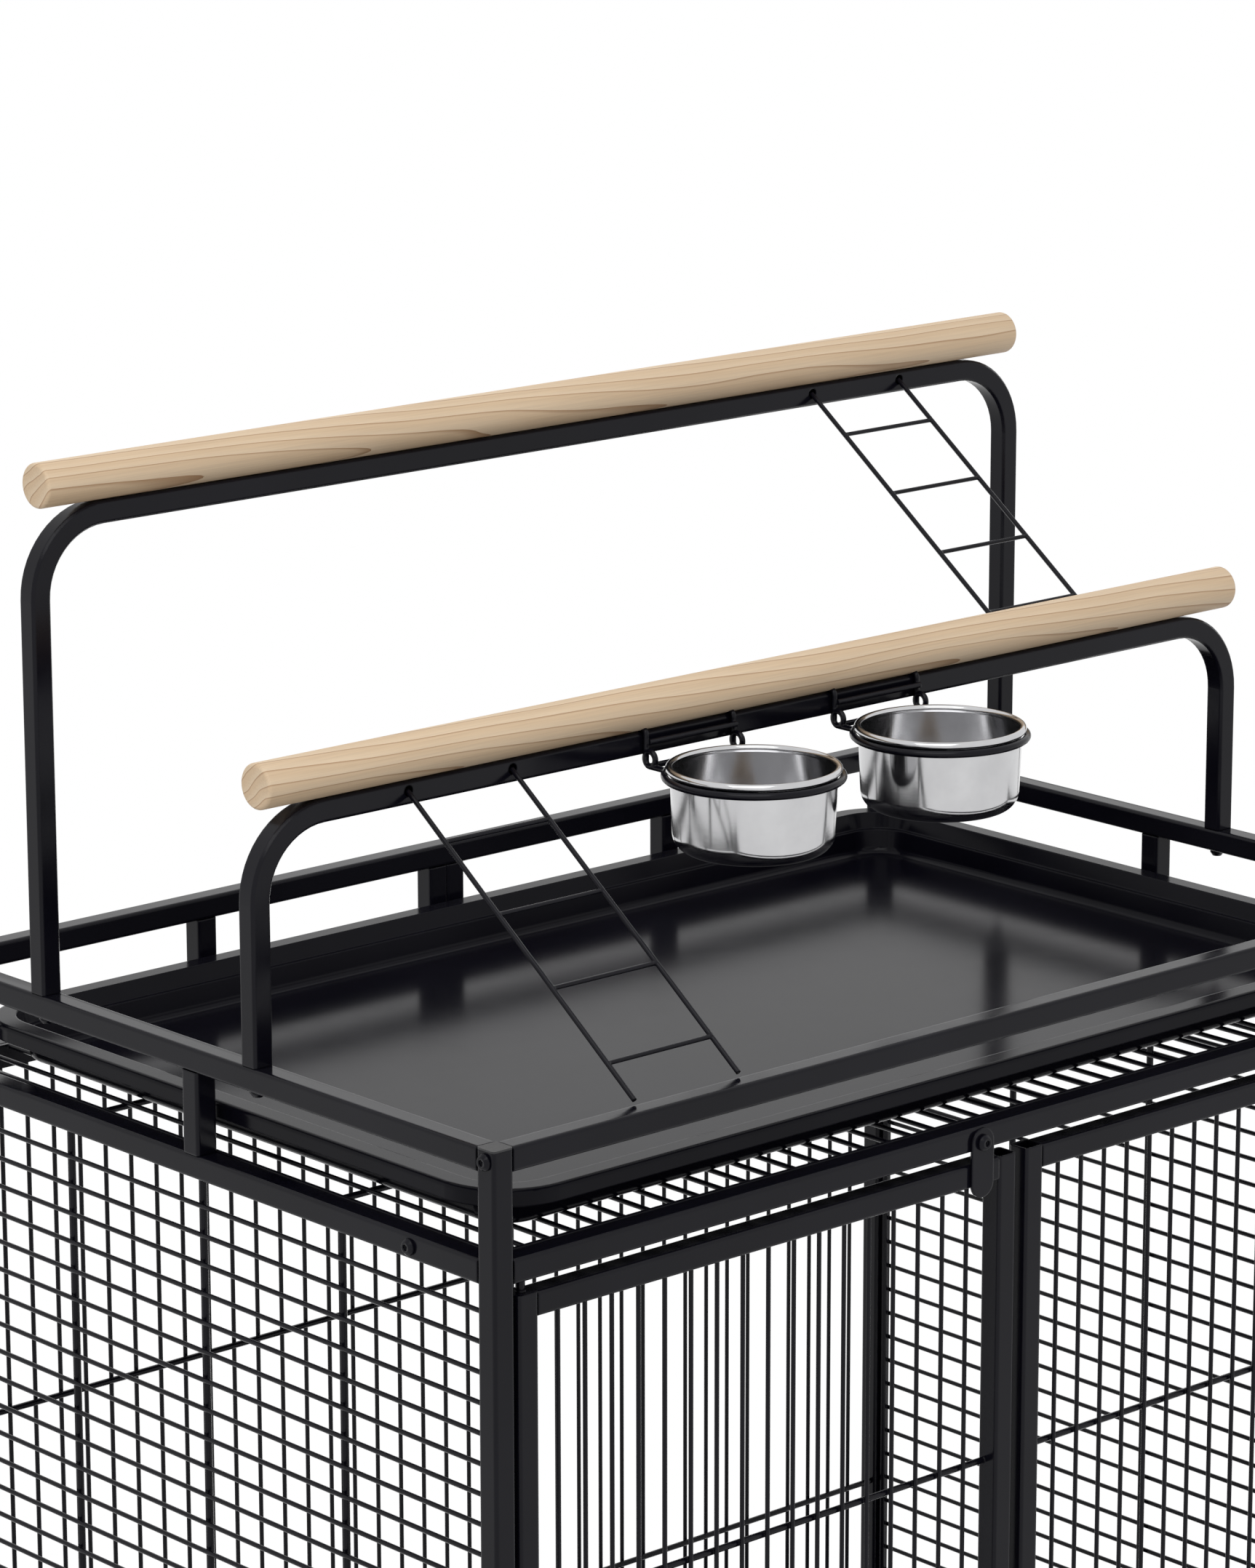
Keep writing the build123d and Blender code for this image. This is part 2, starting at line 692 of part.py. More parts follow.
def caster_fork(x, y, wheel_y, axle_z):
    """Bent plate with two cheeks down to the axle, and a stem up into the post."""
    cheek_x = wheel_width / 2 + fork_gap + fork_thick / 2
    reach = 1 if wheel_y > y else -1
    back = y - reach * fork_width / 2
    front = wheel_y + reach * fork_width / 4
    length = abs(front - back)
    middle = (front + back) / 2
    top = Box(2 * cheek_x + fork_thick, length, fork_thick)
    body = Pos(x, middle, fork_top - fork_thick / 2) * top
    for side in (-1, 1):
        outline = make_hull([
            *(Pos(wheel_y, axle_z) * Circle(fork_width / 3)).edges(),
            *(Pos(middle, fork_top - fork_thick) * Rectangle(length, 2 * fork_thick)).edges()])
        plane = Plane(origin=(x + side * cheek_x - fork_thick / 2, 0, 0), x_dir=(0, 1, 0), z_dir=(1, 0, 0))
        body += extrude(plane * outline, fork_thick)
    body -= rod_x(axle_diameter, x - wheel_width, x + wheel_width, wheel_y, axle_z)
    body += rod_z(stem_diameter, fork_top - fork_thick, post_foot + stem_length - 2, x, y)
    return body


# The whole cage
cup_slots = [left_x + x + hook_shift + side * hook_spread / 2 for x in cup_x for side in (-1, 1)]
ladder_slope_run = front_arch_y - arch_tube / 2 - tube


def ladders():
    """One ladder from each arch down to what stands in front of it."""
    start_y = front_y + front_arch_y - arch_tube / 2
    start_z = top_height + front_arch_rise - ladder_hole_drop
    rise = start_z - top_height
    slope = (rise ** 2 + ladder_slope_run ** 2) ** 0.5 / ladder_slope_run
    foot_y = front_y + tube
    foot_z = top_height + (ladder_wire / 2 + fit) * slope
    ladder("ladder_front", front_ladder_x, start_y + tube_wall, start_z, foot_y, foot_z)
    start_y = front_y + rear_arch_y - arch_tube / 2
    start_z = top_height + rear_arch_rise - ladder_hole_drop
    lean = perch_diameter / 2 + ladder_wire / 2 + 2 * fit
    foot_y = front_y + front_arch_y + lean * lean_share
    foot_z = top_height + front_arch_rise + perch_diameter / 2 - lean * (1 - lean_share ** 2) ** 0.5
    ladder("ladder_rear", rear_ladder_x, start_y + tube_wall, start_z, foot_y, foot_z)


corner_posts()
upper_rails()
rail_spacers()
front_tubes()
door("door_left", -1)
door("door_right", 1)
side_panel("side_panel_left", -1)
side_panel("side_panel_right", 1)
rear_panel()
roof_panel()
play_tray()
arch("arch_front", front_arch_y, front_arch_rise,
     [(left_x + front_ladder_x + shift, -1) for shift in (0, ladder_width)])
arch("arch_rear", rear_arch_y, rear_arch_rise,
     [(left_x + rear_ladder_x + shift, -1) for shift in (0, ladder_width)])
perch("perch_front", front_arch_y, front_arch_rise, cup_slots)
perch("perch_rear", rear_arch_y, rear_arch_rise, [])
ladders()
arch_bolts()
frame_screws()
latch()
for side, x in zip(("left", "right"), cup_x):
    cup(f"cup_{side}", x)
    cup_holder(f"cup_holder_{side}", x)
rail_ring("base_rails", base_rail_top)
runners("drawer_runners", base_rail_top, base_rail_top - tube)
runners("grate_runners", grate_bottom - fit, sill_mid)
drawer()
grate()
rail_ring("shelf_rails", shelf_rail_top)
shelf()
casters()
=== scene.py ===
"""Looks of the play-top bird cage: finishes, rounded pieces, weld marks, studio and camera. Metres."""

import json
import math

import bpy
from mathutils import Matrix, Vector


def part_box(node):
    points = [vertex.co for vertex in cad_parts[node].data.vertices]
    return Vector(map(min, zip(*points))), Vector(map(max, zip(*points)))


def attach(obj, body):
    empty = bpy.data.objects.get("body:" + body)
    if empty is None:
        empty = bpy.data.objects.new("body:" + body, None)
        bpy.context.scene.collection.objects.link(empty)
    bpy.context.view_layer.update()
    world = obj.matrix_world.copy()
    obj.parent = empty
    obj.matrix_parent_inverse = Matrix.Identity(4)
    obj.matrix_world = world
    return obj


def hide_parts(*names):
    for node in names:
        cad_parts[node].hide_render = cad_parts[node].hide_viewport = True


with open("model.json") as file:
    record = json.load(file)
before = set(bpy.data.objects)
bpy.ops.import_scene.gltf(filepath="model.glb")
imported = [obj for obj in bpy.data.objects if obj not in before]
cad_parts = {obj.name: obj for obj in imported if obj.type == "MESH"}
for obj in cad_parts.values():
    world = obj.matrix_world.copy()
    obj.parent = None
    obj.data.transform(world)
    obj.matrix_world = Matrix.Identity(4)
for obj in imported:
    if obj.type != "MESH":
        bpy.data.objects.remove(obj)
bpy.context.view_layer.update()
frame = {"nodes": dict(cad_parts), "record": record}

# Photograph, in pixels and in millimetres of film
IMAGE_HEIGHT = 2156.0
FOCAL_PIXELS = 7908.0
FILM_HEIGHT = 36.0

# Camera: angles in degrees, and its place from the front left post's top in widths of the square tube
CAMERA_AZIMUTH = 41.887
CAMERA_DOWN = 13.978
CAMERA_ROLL = -0.113
CAMERA_FROM_CORNER = (-132.91, -155.72, 65.09)
CAMERA_REACH = 50.0

# Frame, doors and side panels, as in the solids
TUBE = 0.016
ARCH_TUBE = 0.015
DOOR_PITCH = 0.0216
PIN_ABOVE_DOOR = 0.0124
SIDE_BAR_SHARES = (0.25, 0.5, 0.75)

# Ladders, as in the solids, with the rungs' places as shares of the length from the top
LADDER_WIRE = 0.0034
RUNG_WIRE = 0.003
RUNGS = 4
FIRST_RUNG = 0.17
RUNG_STEP = 0.238

# Cups, as in the solids: outer diameters, wall, rounded foot, and rolled rim with its arc's angles
CUP_BODY = 0.110
CUP_BASE = 0.107
CUP_WALL = 0.001
CUP_RIM_ROLL = 0.005
CUP_FOOT_RADIUS = 0.013
ROLL_START = -100
ROLL_END = 220

# Cup holders, as in the solids
RING_WIRE = 0.005
RING_EASE = 0.0009
RIM_SEAT = 0.0007
HOOK_WIRE = 0.004
HOOK_SPREAD = 0.078
HOOK_SHIFT = 0.005
HOOK_BEND = 0.0035
EYE_RADIUS = 0.005
ROD_BITE = 0.001
ROD_BELOW_BAR_TOP = 0.006

# Play tray's flange and the two fine beads rolled along it
TRAY_CORNER = 0.050
FLANGE_BEAD = 0.0011
BEAD_BELOW_FLANGE = 0.000055
OUTER_BEAD_INSET = 0.0032
INNER_BEAD_INSET = 0.0124

# Weld beads, with their height and their outline's wave as shares of the radius
DOOR_WELD = 0.00234
SIDE_WELD = 0.0034
SIDE_WELD_INWARD = 0.0015
WELD_FLATNESS = 0.55
WELD_WAVE = 0.12
WELD_WAVES = 3

# Perches: eased ends, and the spans that their length is divided into
PERCH_EASE = 0.0025
PERCH_SPANS = 40

# Fineness of round forms: points around or along them
WIRE_SIDES = 20
FINE_SIDES = 10
WELD_RINGS = 4
BEND_POINTS = 7
CORNER_POINTS = 12
FOOT_POINTS = 14
ROLL_POINTS = 26
EYE_POINTS = 28
FLOOR_POINTS = 60
PERCH_POINTS = 64
CUP_POINTS = 96
AXIS_RADIUS = 0.0001

# Angles past which edges stay sharp, in degrees
WIRE_SHARP = 50.0
CUP_SHARP = 40.0
CAD_SHARP = 32.0
PERCH_SHARP = 30.0

# Looks: the shaded rounding of coated edges, and where most of a noise texture's values lie
EDGE_ROUND = 0.0016
EDGE_SAMPLES = 6
NOISE_LOW = 0.3
NOISE_HIGH = 0.7

# Studio
FLOOR_RADIUS = 1.9
FLOOR_GREY = 0.82
FLOOR_LIFT = 0.42
SKY_SEEN = (1.0, 1.0, 1.0)
SKY_LIGHT = (0.50, 0.50, 0.51)
LAMP_TARGET = (0.0, 0.0, 1.4)

ALONG_X = Vector((1, 0, 0))
ALONG_Y = Vector((0, 1, 0))
ALONG_Z = Vector((0, 0, 1))


def node_box(name):
    """Lowest and highest corner of a CAD node at rest."""
    low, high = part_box(name)
    return Vector(low), Vector(high)


# Shader helpers
def new_material(name, colour, roughness, metallic=0.0):
    """Principled material, with its node tree and shader."""
    material = bpy.data.materials.new(name)
    material.use_nodes = True
    tree = material.node_tree
    shader = tree.nodes["Principled BSDF"]
    shader.inputs["Base Color"].default_value = (*colour, 1.0)
    shader.inputs["Roughness"].default_value = roughness
    shader.inputs["Metallic"].default_value = metallic
    return material, tree, shader


def object_coordinates(tree, scale=(1.0, 1.0, 1.0)):
    """Place on the object, multiplied by a scale along each axis."""
    place = tree.nodes.new("ShaderNodeTexCoord")
    mapping = tree.nodes.new("ShaderNodeMapping")
    mapping.inputs["Scale"].default_value = scale
    tree.links.new(place.outputs["Object"], mapping.inputs["Vector"])
    return mapping.outputs["Vector"]


def noise(tree, vector, scale, detail=3.0, roughness=0.5):
    """Noise texture's value."""
    texture = tree.nodes.new("ShaderNodeTexNoise")
    texture.inputs["Scale"].default_value = scale
    texture.inputs["Detail"].default_value = detail
    texture.inputs["Roughness"].default_value = roughness
    tree.links.new(vector, texture.inputs["Vector"])
    return texture.outputs["Fac"]


def vary_roughness(tree, shader, value, low, high):
    """Roughness from low to high, led by a noise value."""
    node = tree.nodes.new("ShaderNodeMapRange")
    node.inputs["From Min"].default_value = NOISE_LOW
    node.inputs["From Max"].default_value = NOISE_HIGH
    node.inputs["To Min"].default_value = low
    node.inputs["To Max"].default_value = high
    tree.links.new(value, node.inputs["Value"])
    tree.links.new(node.outputs["Result"], shader.inputs["Roughness"])


def colour_ramp(tree, value, stops):
    """Colour from a value. The first two stops take the ramp's own two ends."""
    ramp = tree.nodes.new("ShaderNodeValToRGB")
    elements = ramp.color_ramp.elements
    for i, (place, colour) in enumerate(stops):
        element = elements[i] if i < 2 else elements.new(place)
        element.position = place
        element.color = (*colour, 1.0)
    tree.links.new(value, ramp.inputs["Fac"])
    return ramp.outputs["Color"]


def vary_colour(tree, shader, value, first, second, low=NOISE_LOW, high=NOISE_HIGH):
    """Base colour from the first tone to the second, led by a noise value."""
    colour = colour_ramp(tree, value, [(low, first), (high, second)])
    tree.links.new(colour, shader.inputs["Base Color"])


def add_bump(tree, shader, height, strength, distance):
    """Fine relief led by a value. Gives the bump node back."""
    bump = tree.nodes.new("ShaderNodeBump")
    bump.inputs["Strength"].default_value = strength
    bump.inputs["Distance"].default_value = distance
    tree.links.new(height, bump.inputs["Height"])
    tree.links.new(bump.outputs["Normal"], shader.inputs["Normal"])
    return bump


def soften_edges(tree, bump):
    """Edges shaded as if rounded, so that they catch the light as coated tube does."""
    bevel = tree.nodes.new("ShaderNodeBevel")
    bevel.samples = EDGE_SAMPLES
    bevel.inputs["Radius"].default_value = EDGE_ROUND
    tree.links.new(bevel.outputs["Normal"], bump.inputs["Normal"])


def camera_or_glossy(tree):
    """1 for what the camera sees directly or in a reflection, and 0 for light that falls on the object."""
    rays = tree.nodes.new("ShaderNodeLightPath")
    either = tree.nodes.new("ShaderNodeMath")
    either.operation = "MAXIMUM"
    tree.links.new(rays.outputs["Is Camera Ray"], either.inputs[0])
    tree.links.new(rays.outputs["Is Glossy Ray"], either.inputs[1])
    return either.outputs["Value"]


# Materials
def powder_coat(name, base, roughness, peel, specular):
    """Black satin powder coat: faint orange peel, cloudy gloss and a little dust tone."""
    material, tree, shader = new_material(name, base, 0.35)
    shader.inputs["Specular IOR Level"].default_value = specular
    vector = object_coordinates(tree)
    cloud = noise(tree, vector, scale=9.0, detail=4.0)
    dusty = tuple(channel * 1.5 + 0.002 for channel in base)
    vary_colour(tree, shader, cloud, base, dusty, low=0.35, high=0.75)
    vary_roughness(tree, shader, noise(tree, vector, scale=55.0, detail=5.0), *roughness)
    orange_peel = noise(tree, vector, scale=950.0, detail=2.0)
    bump = add_bump(tree, shader, orange_peel, strength=peel, distance=0.00012)
    soften_edges(tree, bump)
    return material


def wood_rings(tree):
    """Growth rings along X as bands that wander with a long noise, from pale early to brown late wood."""
    wander = noise(tree, object_coordinates(tree, (1.3, 9.0, 9.0)), scale=1.0)
    shift = tree.nodes.new("ShaderNodeVectorMath")
    shift.operation = "MULTIPLY_ADD"
    tree.links.new(wander, shift.inputs[0])
    shift.inputs[1].default_value = (0.0, 0.030, 0.045)
    tree.links.new(object_coordinates(tree, (0.05, 1.0, 1.0)), shift.inputs[2])
    rings = tree.nodes.new("ShaderNodeTexWave")
    rings.wave_type = "BANDS"
    rings.bands_direction = "DIAGONAL"
    rings.wave_profile = "SAW"
    rings.inputs["Scale"].default_value = 60.0
    rings.inputs["Distortion"].default_value = 1.6
    rings.inputs["Detail"].default_value = 2.0
    rings.inputs["Detail Scale"].default_value = 0.6
    tree.links.new(shift.outputs["Vector"], rings.inputs["Vector"])
    light = (0.96, 0.760, 0.530)
    middle = (0.86, 0.640, 0.415)
    dark = (0.50, 0.290, 0.150)
    stops = [(0.0, light), (1.0, dark), (0.62, middle), (0.86, middle)]
    return colour_ramp(tree, rings.outputs["Fac"], stops)


def pale_wood():
    """Pale pine dowel along X: growth rings and fine fibres in tone, gloss and relief."""
    material, tree, shader = new_material("pale_wood", (0.72, 0.52, 0.32), 0.5)
    grain = wood_rings(tree)
    fibre = noise(tree, object_coordinates(tree, (14.0, 900.0, 900.0)), scale=1.0, detail=4.0, roughness=0.6)
    tone = colour_ramp(tree, fibre, [(0.3, (0.86, 0.84, 0.82)), (0.62, (1.0, 1.0, 1.0))])
    mix = tree.nodes.new("ShaderNodeMix")
    mix.data_type = "RGBA"
    mix.blend_type = "MULTIPLY"
    mix.inputs["Factor"].default_value = 0.7
    tree.links.new(grain, mix.inputs["A"])
    tree.links.new(tone, mix.inputs["B"])
    tree.links.new(mix.outputs["Result"], shader.inputs["Base Color"])
    vary_roughness(tree, shader, fibre, 0.42, 0.62)
    add_bump(tree, shader, fibre, strength=0.25, distance=0.00025)
    return material


def spun_steel():
    """Polished steel with faint turning lines and a cloudy gloss."""
    material, tree, shader = new_material("polished_steel", (0.64, 0.64, 0.65), 0.12, metallic=1.0)
    lines = noise(tree, object_coordinates(tree, (6.0, 6.0, 1600.0)), scale=1.0, detail=2.0)
    cloud = noise(tree, object_coordinates(tree), scale=40.0)
    vary_roughness(tree, shader, cloud, 0.09, 0.17)
    vary_colour(tree, shader, cloud, (0.53, 0.53, 0.54), (0.60, 0.60, 0.61))
    add_bump(tree, shader, lines, strength=0.06, distance=0.0001)
    return material


def plated_steel():
    """Dull plating with a cloudy gloss."""
    material, tree, shader = new_material("plated_steel", (0.55, 0.55, 0.57), 0.3, metallic=1.0)
    cloud = noise(tree, object_coordinates(tree), scale=120.0, detail=4.0)
    vary_roughness(tree, shader, cloud, 0.2, 0.42)
    vary_colour(tree, shader, cloud, (0.45, 0.45, 0.46), (0.6, 0.6, 0.62))
    return material


def wheel_rubber():
    """Dark grey rubber with a fine grain."""
    material, tree, shader = new_material("grey_rubber", (0.05, 0.05, 0.053), 0.6)
    vector = object_coordinates(tree)
    grain = noise(tree, vector, scale=700.0, detail=4.0)
    vary_colour(tree, shader, noise(tree, vector, scale=30.0), (0.04, 0.04, 0.043), (0.075, 0.075, 0.08))
    vary_roughness(tree, shader, grain, 0.5, 0.75)
    add_bump(tree, shader, grain, strength=0.3, distance=0.0002)
    return material


def moulded_plastic():
    """Black plastic with a moulded grain."""
    material, tree, shader = new_material("black_plastic", (0.012, 0.012, 0.013), 0.4)
    vector = object_coordinates(tree)
    grain = noise(tree, vector, scale=1400.0, detail=2.0)
    vary_colour(tree, shader, noise(tree, vector, scale=60.0), (0.010, 0.010, 0.011), (0.018, 0.018, 0.02))
    vary_roughness(tree, shader, grain, 0.36, 0.5)
    add_bump(tree, shader, grain, strength=0.2, distance=0.0001)
    return material


COAT = powder_coat("black_powder_coat", (0.0030, 0.0028, 0.0060), roughness=(0.13, 0.18), peel=0.08,
                   specular=0.17)
SHEET_COAT = powder_coat("black_sheet_coat", (0.0028, 0.0026, 0.0056), roughness=(0.150, 0.165), peel=0.04,
                         specular=0.095)
SHEET_NODES = ("play_tray", "drawer", "lower_shelf")
MATERIALS = {
    "black_powder_coat": COAT,
    "pale_wood": pale_wood(),
    "polished_steel": spun_steel(),
    "plated_steel": plated_steel(),
    "grey_rubber": wheel_rubber(),
    "black_plastic": moulded_plastic(),
}


# Lines of points
def arc(centre, radius, start, end, count):
    """Points of a flat arc, from the start to the end angle in degrees."""
    points = []
    for i in range(count):
        turn = math.radians(start + (end - start) * i / (count - 1))
        points.append((centre[0] + radius * math.cos(turn), centre[1] + radius * math.sin(turn)))
    return points


def circle(centre, radius, first, second, count):
    """Points of a circle spanned by two directions."""
    turns = [2 * math.pi * i / count for i in range(count)]
    return [centre + first * radius * math.cos(t) + second * radius * math.sin(t) for t in turns]


def straight(start, end):
    """A straight run with a point half-way."""
    return [start, (start + end) / 2, end]


def rounded(points, radius):
    """Right-angled corners of an open line turned into bends of the radius."""
    points = [Vector(p) for p in points]
    line = [points[0]]
    for before, corner, after in zip(points, points[1:], points[2:]):
        back = (before - corner).normalized()
        on = (after - corner).normalized()
        centre = corner + back * radius + on * radius
        for i in range(BEND_POINTS):
            turn = math.pi / 2 * i / (BEND_POINTS - 1)
            line.append(centre - on * radius * math.cos(turn) - back * radius * math.sin(turn))
    line.append(points[-1])
    return line


def rounded_rectangle(low, high, inset, radius, z):
    """Level outline inside a box's sides, with round corners."""
    x0, x1 = low.x + inset + radius, high.x - inset - radius
    y0, y1 = low.y + inset + radius, high.y - inset - radius
    line = []
    for centre, start in (((x1, y1), 0), ((x0, y1), 90), ((x0, y0), 180), ((x1, y0), 270)):
        line += [Vector((x, y, z)) for x, y in arc(centre, radius, start, start + 90, CORNER_POINTS)]
    return line


# Mesh helpers
def new_object(name, vertices, faces, material):
    """Smooth-shaded mesh object."""
    mesh = bpy.data.meshes.new(name)
    mesh.from_pydata([tuple(v) for v in vertices], [], faces)
    mesh.validate()
    mesh.update()
    piece = bpy.data.objects.new(name, mesh)
    bpy.context.scene.collection.objects.link(piece)
    mesh.materials.append(material)
    smooth(mesh)
    return piece


def smooth(mesh):
    for polygon in mesh.polygons:
        polygon.use_smooth = True


def keep_sharp(piece, angle):
    """Smooth shading that leaves edges sharper than the angle as they are."""
    smooth(piece.data)
    piece.data.set_sharp_from_angle(angle=math.radians(angle))


def lathe(name, profile, place, material, segments):
    """Turned piece from an open line of (radius, height) points about Z, then put in place by a matrix."""
    vertices, faces = [], []
    for i in range(segments):
        turn = 2 * math.pi * i / segments
        vertices += [place @ Vector((r * math.cos(turn), r * math.sin(turn), h)) for r, h in profile]
    count = len(profile)
    for i in range(segments):
        first, after = i * count, (i + 1) % segments * count
        faces += [(first + j, after + j, after + j + 1, first + j + 1) for j in range(count - 1)]
    return new_object(name, vertices, faces, material)


def tube_along(name, points, radius, material, sides=WIRE_SIDES, ring=False):
    """Round tube along points, capped at its ends unless it is a ring."""
    points = [Vector(p) for p in points]
    count = len(points)
    vertices, faces = [], []
    normal = None
    for i, point in enumerate(points):
        if ring:
            ahead = points[(i + 1) % count] - points[i - 1]
        else:
            ahead = points[min(i + 1, count - 1)] - points[max(i - 1, 0)]
        ahead.normalize()
        if normal is None:
            normal = ahead.orthogonal().normalized()
        normal = (normal - ahead * normal.dot(ahead)).normalized()
        vertices += circle(point, radius, normal, ahead.cross(normal), sides)
    for i in range(count if ring else count - 1):
        first, after = i * sides, (i + 1) % count * sides
        for j in range(sides):
            k = (j + 1) % sides
            faces.append((first + j, first + k, after + k, after + j))
    if not ring:
        faces.append(tuple(reversed(range(sides))))
        faces.append(tuple(range((count - 1) * sides, count * sides)))
    piece = new_object(name, vertices, faces, material)
    keep_sharp(piece, WIRE_SHARP)
    return piece


def joined(name, pieces):
    """One object from several."""
    bpy.ops.object.select_all(action="DESELECT")
    for piece in pieces:
        piece.select_set(True)
    bpy.context.view_layer.objects.active = pieces[0]
    bpy.ops.object.join()
    pieces[0].name = name
    return pieces[0]


# CAD nodes: finish and shading
def finish_nodes():
    slots = {entry["node"]: entry["material_slot"] for entry in frame["record"]["subparts"]}
    for name, piece in frame["nodes"].items():
        material = SHEET_COAT if name in SHEET_NODES else MATERIALS[slots[name]]
        piece.data.materials.clear()
        piece.data.materials.append(material)
        keep_sharp(piece, CAD_SHARP)


# Steel cups, turned with a rolled rim and a rounded foot
def cup(side):
    node = f"cup_{side}"
    low, high = node_box(node)
    centre = (low + high) / 2
    roll = CUP_RIM_ROLL / 2
    rim_radius = (high.x - low.x) / 2
    height = high.z - low.z
    foot = (CUP_BASE / 2 - CUP_FOOT_RADIUS, CUP_FOOT_RADIUS)
    profile = [(AXIS_RADIUS, 0.0)]
    profile += arc(foot, CUP_FOOT_RADIUS, -90, 0, FOOT_POINTS)
    profile.append((CUP_BODY / 2, height - CUP_RIM_ROLL))
    profile += arc((rim_radius - roll, height - roll), roll, ROLL_START, ROLL_END, ROLL_POINTS)
    profile.append((CUP_BODY / 2 - CUP_WALL, height - CUP_RIM_ROLL))
    profile += arc(foot, CUP_FOOT_RADIUS - CUP_WALL, 0, -90, FOOT_POINTS)
    profile.append((AXIS_RADIUS, CUP_WALL))
    place = Matrix.Translation((centre.x, centre.y, low.z))
    piece = lathe(f"cup_{side}_turned", profile, place, MATERIALS["polished_steel"], CUP_POINTS)
    keep_sharp(piece, CUP_SHARP)
    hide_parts(node)
    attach(piece, f"{side}_cup")


# Cup holders: ring, two hooks over the arch bar with an eye each, and two rods
def ring_below_top(rim_radius, ring_radius):
    """How far the ring's wire lies below the cup's top, where the rolled rim rests on it."""
    rim_to_ring = (CUP_RIM_ROLL + RING_WIRE) / 2 + RIM_SEAT
    aside = ring_radius - (rim_radius - CUP_RIM_ROLL / 2)
    return CUP_RIM_ROLL / 2 + math.sqrt(rim_to_ring ** 2 - aside ** 2)


def holder(side):
    node = f"cup_holder_{side}"
    cup_low, cup_high = node_box(f"cup_{side}")
    x, y = (cup_low.x + cup_high.x) / 2, (cup_low.y + cup_high.y) / 2
    arch_low, arch_high = node_box("arch_front")
    bar_y, bar_top = (arch_low.y + arch_high.y) / 2, arch_high.z
    ring_radius = CUP_BODY / 2 + RING_WIRE / 2 + RING_EASE
    ring_z = cup_high.z - ring_below_top((cup_high.x - cup_low.x) / 2, ring_radius)
    ring = circle(Vector((x, y, ring_z)), ring_radius, ALONG_X, ALONG_Y, CUP_POINTS)
    parts = [tube_along("ring", ring, RING_WIRE / 2, COAT, ring=True)]
    off_bar = (ARCH_TUBE + HOOK_WIRE) / 2
    front, back = bar_y - off_bar, bar_y + off_bar
    over, bar_middle = bar_top + HOOK_WIRE / 2, bar_top - ARCH_TUBE / 2
    from_centre = [sign * HOOK_SPREAD / 2 + HOOK_SHIFT for sign in (-1, 1)]
    for offset in from_centre:
        reach = math.sqrt(ring_radius ** 2 - offset ** 2)
        path = [(y + reach, ring_z), (front, ring_z), (front, over), (back, over), (back, bar_middle)]
        line = rounded([(x + offset, *place) for place in path], HOOK_BEND)
        parts.append(tube_along("hook", line, HOOK_WIRE / 2, COAT))
        eye_centre = Vector((x + offset, front - HOOK_WIRE, ring_z + EYE_RADIUS))
        eye = circle(eye_centre, EYE_RADIUS, ALONG_Y, ALONG_Z, EYE_POINTS)
        parts.append(tube_along("eye", eye, HOOK_WIRE / 2, COAT, ring=True))
    for z in (bar_top - ROD_BELOW_BAR_TOP, ring_z):
        ends = [Vector((x + offset, front - HOOK_WIRE + ROD_BITE, z)) for offset in from_centre]
        parts.append(tube_along("rod", straight(*ends), HOOK_WIRE / 2, COAT))
    piece = joined(f"cup_holder_{side}_wires", parts)
    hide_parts(node)
    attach(piece, "cage")


# Fine rolled beads along the play tray's flange
def flange_beads():
    low, high = node_box("play_tray")
    radius = FLANGE_BEAD / 2
    for i, inset in enumerate((OUTER_BEAD_INSET, INNER_BEAD_INSET)):
        line = rounded_rectangle(low, high, inset, TRAY_CORNER - inset, high.z - BEAD_BELOW_FLANGE - radius)
        piece = tube_along(f"tray_bead_{i}", line, radius, SHEET_COAT, sides=FINE_SIDES, ring=True)
        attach(piece, "tray")


# Weld beads where the doors' wires and the side panels' bars meet the tube over them
def spots(name, places, radius, body):
    """Small flattened beads with a wavy outline, one mesh."""
    vertices, faces = [], []
    for place in places:
        start = len(vertices)
        for i in range(WELD_RINGS + 1):
            lift = math.pi * i / WELD_RINGS
            level = place + ALONG_Z * radius * WELD_FLATNESS * math.cos(lift)
            for j in range(FINE_SIDES):
                turn = 2 * math.pi * j / FINE_SIDES
                wide = radius * math.sin(lift) * (1.0 + WELD_WAVE * math.sin(WELD_WAVES * turn))
                vertices.append(level + Vector((wide * math.cos(turn), wide * math.sin(turn), 0.0)))
        for i in range(WELD_RINGS):
            upper, lower = start + i * FINE_SIDES, start + (i + 1) * FINE_SIDES
            for j in range(FINE_SIDES):
                k = (j + 1) % FINE_SIDES
                faces.append((upper + j, lower + j, lower + k, upper + k))
    piece = new_object(name, vertices, faces, COAT)
    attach(piece, body)


def door_welds(side):
    low, high = node_box(f"door_{side}")
    y = (low.y + high.y) / 2
    rail_bottom = high.z - PIN_ABOVE_DOOR - TUBE
    span = high.x - low.x - 2 * TUBE
    gaps = round(span / DOOR_PITCH)
    places = [Vector((low.x + TUBE + span * i / gaps, y, rail_bottom)) for i in range(1, gaps)]
    spots(f"door_{side}_welds", places, DOOR_WELD, f"door_{side}")


def side_welds(side, sign):
    low, high = node_box(f"side_panel_{side}")
    outside = low.x if sign < 0 else high.x
    x = outside - sign * (TUBE / 2 + SIDE_WELD_INWARD)
    depth = high.y - low.y
    places = [Vector((x, low.y + depth * share, high.z - TUBE)) for share in SIDE_BAR_SHARES]
    spots(f"side_{side}_welds", places, SIDE_WELD, "cage")


